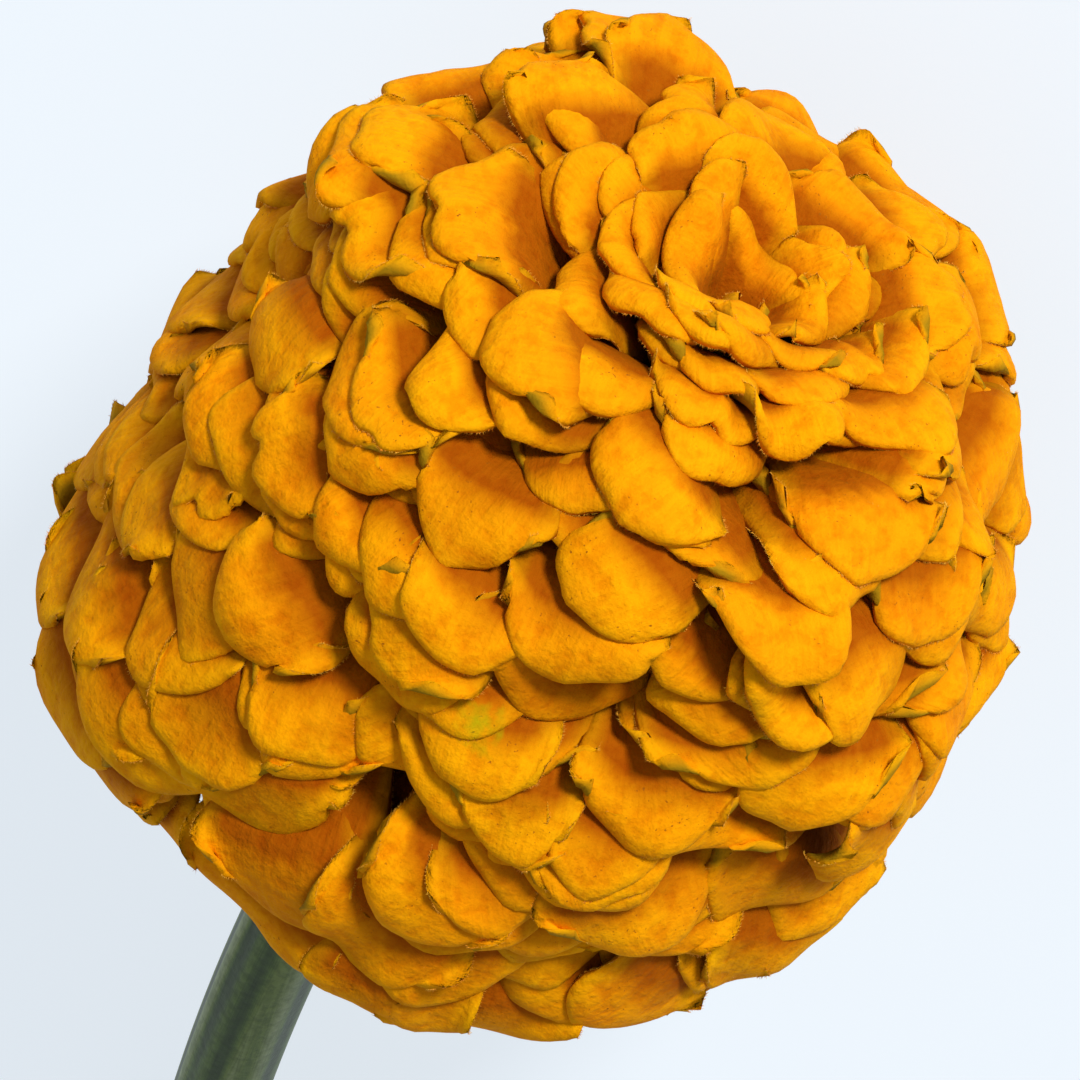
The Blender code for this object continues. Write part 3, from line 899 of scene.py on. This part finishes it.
def petal_material(stain_place):
    """Velvet: golden with an orange base that is partly painted shade, painted shade in the hollows, yellower
    margins, fine streaks along it and dark specks.
    """
    made, tree, shader = new_material("petal_velvet")
    tone = attribute(tree, "tone")
    parts = tree.nodes.new("ShaderNodeSeparateColor")
    tree.links.new(tone.outputs["Color"], parts.inputs[0])
    along, own, face = parts.outputs
    margin = tone.outputs["Alpha"]
    # Painted shade: the blade goes darker and deeper orange where it lies in a hollow of the bloom.
    hollow_shade = attribute(tree, "hollow_shade").outputs["Fac"]
    place = tree.nodes.new("ShaderNodeTexCoord").outputs["Object"]
    lengthwise = add(tree, "ShaderNodeMapping")
    tree.links.new(tree.nodes.new("ShaderNodeUVMap").outputs["UV"], lengthwise.inputs["Vector"])
    lengthwise.inputs["Scale"].default_value = (26.0, 2.6, 1.0)
    spread = tree.nodes.new("ShaderNodeCombineXYZ")
    tree.links.new(maths(tree, "MULTIPLY", own, 91.0), spread.inputs[1])
    tree.links.new(spread.outputs[0], lengthwise.inputs["Location"])

    blade = mix(tree, own, GOLD, AMBER)
    patches = between(tree, noise(tree, place, 160.0), 0.42, 0.66)
    blade = mix(tree, maths(tree, "MULTIPLY", patches, 0.45), blade, ORANGE)
    # Painted shade: towards the root and in the hollows the blade goes to deep orange, which is partly the
    # petal's own base colour.
    base = maths(tree, "ADD", hollow_shade, between(tree, along, 0.75, 0.30))
    deep = between(tree, base, 0.0, 0.75)
    blade = mix(tree, deep, blade, ROOT_AND_SHADE_ORANGE)
    edge = maths(tree, "MULTIPLY", between(tree, margin, 0.2, 1.0), 0.40)
    blade = mix(tree, edge, blade, MARGIN_YELLOW)
    streaks = noise(tree, lengthwise.outputs[0], 1.0, 2.0, 0.5)
    blade = mix(tree, between(tree, streaks, 0.58, 0.30), blade, STREAK_BROWN, "MULTIPLY")
    mottle = noise(tree, place, 700.0, 5.0, 0.62)
    blade = mix(tree, between(tree, mottle, 0.54, 0.34), blade, MOTTLE_BROWN, "MULTIPLY")
    specks = between(tree, noise(tree, place, 4200.0, 1.0), 0.68, 0.76)
    where = between(tree, noise(tree, place, 260.0), 0.50, 0.64)
    blade = mix(tree, maths(tree, "MULTIPLY", specks, where), blade, SPECK_BROWN)
    away = add(tree, "ShaderNodeVectorMath", operation="DISTANCE")
    tree.links.new(place, away.inputs[0])
    away.inputs[1].default_value = Vector(stain_place)
    ragged = maths(tree, "MULTIPLY_ADD", noise(tree, place, 900.0, 4.0), 4 * MM, away.outputs["Value"])
    stained = maths(tree, "MULTIPLY", between(tree, ragged, *STAIN_REACH), 0.8)
    blade = mix(tree, stained, blade, STAIN_GREEN)
    tree.links.new(mix(tree, face, UNDER_OLIVE, blade), shader.inputs["Base Color"])

    relief = maths(tree, "MULTIPLY_ADD", mottle, 2.2, maths(tree, "MULTIPLY", streaks, 0.6))
    bump = add(tree, "ShaderNodeBump", Strength=1.0, Distance=PETAL_BUMP)
    tree.links.new(relief, bump.inputs["Height"])
    tree.links.new(bump.outputs[0], shader.inputs["Normal"])
    shader.inputs["Roughness"].default_value = 0.8
    shader.inputs["Specular IOR Level"].default_value = 0.02
    shader.inputs["Sheen Weight"].default_value = 0.05
    shader.inputs["Sheen Roughness"].default_value = 0.5
    shader.inputs["Sheen Tint"].default_value = (1.0, 0.55, 0.02, 1.0)
    return made


def hair_material():
    """The hairs are paler than the blade, some more so than others."""
    made, tree, shader = new_material("petal_hairs")
    place = tree.nodes.new("ShaderNodeTexCoord").outputs["Object"]
    tint = mix(tree, between(tree, noise(tree, place, 900.0), 0.35, 0.65), AMBER, HAIR_GOLD)
    tree.links.new(tint, shader.inputs["Base Color"])
    shader.inputs["Roughness"].default_value = 0.7
    return made


def grained(tree, shader, colour, shade, grain, relief):
    """Darkens a colour in small patches and lifts the surface between them."""
    place = tree.nodes.new("ShaderNodeTexCoord").outputs["Object"]
    patches = noise(tree, place, grain, 4.0, 0.6)
    tint = mix(tree, between(tree, patches, 0.60, 0.36), colour, shade, "MULTIPLY")
    tree.links.new(tint, shader.inputs["Base Color"])
    bump = add(tree, "ShaderNodeBump", Strength=1.0, Distance=relief)
    tree.links.new(patches, bump.inputs["Height"])
    tree.links.new(bump.outputs[0], shader.inputs["Normal"])


def bract_material():
    made, tree, shader = new_material("bract_green")
    tone = add(tree, "ShaderNodeAttribute", attribute_name="tone")
    parts = tree.nodes.new("ShaderNodeSeparateColor")
    tree.links.new(tone.outputs["Color"], parts.inputs[0])
    green = mix(tree, parts.outputs[1], (0.085, 0.150, 0.022), (0.130, 0.190, 0.035))
    dark = ramp(
        tree,
        tone.outputs["Alpha"],
        ((0.0, (0, 0, 0)), (0.35, (0.15, 0.15, 0.15)), (0.75, (1, 1, 1))),
    )
    green = mix(tree, dark, green, (0.022, 0.012, 0.006))
    grained(tree, shader, green, GREEN_SHADE, BRACT_GRAIN, BRACT_BUMP)
    shader.inputs["Roughness"].default_value = 0.55
    return made


def stem_material():
    made, tree, shader = new_material("stem_green")
    tone = add(tree, "ShaderNodeAttribute", attribute_name="tone")
    parts = tree.nodes.new("ShaderNodeSeparateColor")
    tree.links.new(tone.outputs["Color"], parts.inputs[0])
    bands = ramp(
        tree,
        parts.outputs[1],
        (
            (0.15, (0.030, 0.062, 0.012)),
            (0.45, (0.075, 0.130, 0.022)),
            (0.70, (0.135, 0.190, 0.040)),
            (0.95, (0.210, 0.260, 0.110)),
        ),
    )
    fibres = tree.nodes.new("ShaderNodeCombineXYZ")
    tree.links.new(maths(tree, "MULTIPLY", parts.outputs[0], 14.0), fibres.inputs[0])
    tree.links.new(maths(tree, "MULTIPLY", parts.outputs[1], 16.0), fibres.inputs[1])
    streaks = noise(tree, fibres.outputs[0], 1.0, 3.0, 0.6)
    bands = mix(tree, between(tree, streaks, 0.58, 0.38), bands, STREAK_GREEN, "MULTIPLY")
    skin = mix(tree, parts.outputs[2], (0.42, 0.46, 0.24), bands)
    grained(tree, shader, skin, GREEN_SHADE, STEM_GRAIN, STEM_BUMP)
    shader.inputs["Roughness"].default_value = 0.5
    return made


def core_shade_material():
    made, tree, shader = new_material("shaded_petal_bases")
    # Painted shade: the depth between the petals is dark brown.
    grained(tree, shader, CORE_PAINTED_SHADE, CORE_SHADE, CORE_GRAIN, CORE_BUMP)
    shader.inputs["Roughness"].default_value = 0.9
    return made


def make_camera():
    """The photograph's view: up on the bloom's side, with the bloom's middle at its own pixel."""
    towards = np.array([math.cos(VIEW_RISE), 0.0, math.sin(VIEW_RISE)])
    lean = AXIS - towards * (AXIS @ towards)
    lean /= np.linalg.norm(lean)
    side = np.array([0.0, -1.0, 0.0])
    up = math.cos(AXIS_LEAN) * lean - math.sin(AXIS_LEAN) * side
    right = np.cross(up, towards)
    pixel = FRAME_WIDTH / FRAME_PIXELS
    aim = (
        BLOOM_CENTRE
        - right * (BLOOM_PIXEL[0] - FRAME_PIXELS / 2) * pixel
        + up * (BLOOM_PIXEL[1] - FRAME_PIXELS / 2) * pixel
    )
    camera = bpy.data.objects.new("camera", bpy.data.cameras.new("camera"))
    bpy.context.scene.collection.objects.link(camera)
    camera.data.sensor_width = SENSOR_WIDTH
    camera.data.lens = SENSOR_WIDTH * CAMERA_DISTANCE / FRAME_WIDTH
    camera.data.clip_start = 0.01
    axes = Matrix((Vector(right), Vector(up), Vector(towards))).transposed()
    camera.matrix_world = Matrix.Translation(Vector(aim + towards * CAMERA_DISTANCE)) @ axes.to_4x4()
    bpy.context.scene.camera = camera
    return right, up, towards


def make_floor():
    bpy.ops.mesh.primitive_plane_add(size=6.0)
    floor = bpy.context.object
    floor.name = "floor"
    made, tree, shader = new_material("floor")
    shader.inputs["Base Color"].default_value = (0.22, 0.24, 0.26, 1.0)
    shader.inputs["Roughness"].default_value = 0.9
    shader.inputs["Emission Color"].default_value = (0.86, 0.93, 1.0, 1.0)
    shader.inputs["Emission Strength"].default_value = FLOOR_GLOW
    floor.data.materials.append(made)


def area_light(name, place, target, size, power, colour=(1.0, 1.0, 1.0)):
    light = bpy.data.objects.new(name, bpy.data.lights.new(name, "AREA"))
    bpy.context.scene.collection.objects.link(light)
    light.data.shape = "DISK"
    light.data.size = size
    light.data.energy = power
    light.data.color = colour
    light.location = place
    away = Vector(place) - Vector(target)
    light.rotation_mode = "QUATERNION"
    light.rotation_quaternion = away.to_track_quat("Z", "Y")
    return light


def make_light(right, up, towards):
    """A broad soft key from over the bloom, and a pale sky all round."""
    key_side = 0.27 * up + 0.86 * towards + 0.34 * right
    fill_side = -0.5 * up + 0.4 * towards - 0.6 * right
    key = BLOOM_CENTRE + key_side * KEY_DISTANCE
    area_light("key", key, BLOOM_CENTRE, KEY_SIZE, KEY_POWER, (1.0, 0.98, 0.95))
    world = bpy.context.scene.world or bpy.data.worlds.new("world")
    bpy.context.scene.world = world
    world.use_nodes = True
    tree = world.node_tree
    sky = tree.nodes["Background"]
    sky.inputs["Color"].default_value = (0.90, 0.95, 1.0, 1.0)
    where = tree.nodes.new("ShaderNodeTexCoord")
    facing = add(tree, "ShaderNodeVectorMath", operation="DOT_PRODUCT")
    facing.inputs[1].default_value = Vector(fill_side)
    tree.links.new(where.outputs["Generated"], facing.inputs[0])
    strength = add(tree, "ShaderNodeMath", operation="MULTIPLY_ADD")
    strength.inputs[1].default_value = SKY_SLOPE
    strength.inputs[2].default_value = SKY_MEAN
    tree.links.new(facing.outputs["Value"], strength.inputs[0])
    tree.links.new(strength.outputs[0], sky.inputs["Strength"])


def main():
    for obj in list(bpy.data.objects):
        bpy.data.objects.remove(obj, do_unlink=True)
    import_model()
    right, up, towards = make_camera()
    stain = BLOOM_CENTRE + (right * STAIN_PLACE[0] + up * STAIN_PLACE[1] + towards * STAIN_PLACE[2]) * MM
    make_petals(petal_material(stain), hair_material())
    core_piece(core_shade_material())
    bracts = bract_material()
    cup_piece(bracts)
    make_involucre(bracts)
    make_stem(stem_material())
    make_floor()
    make_light(right, up, towards)
    bpy.context.scene.view_settings.view_transform = "Standard"


main()
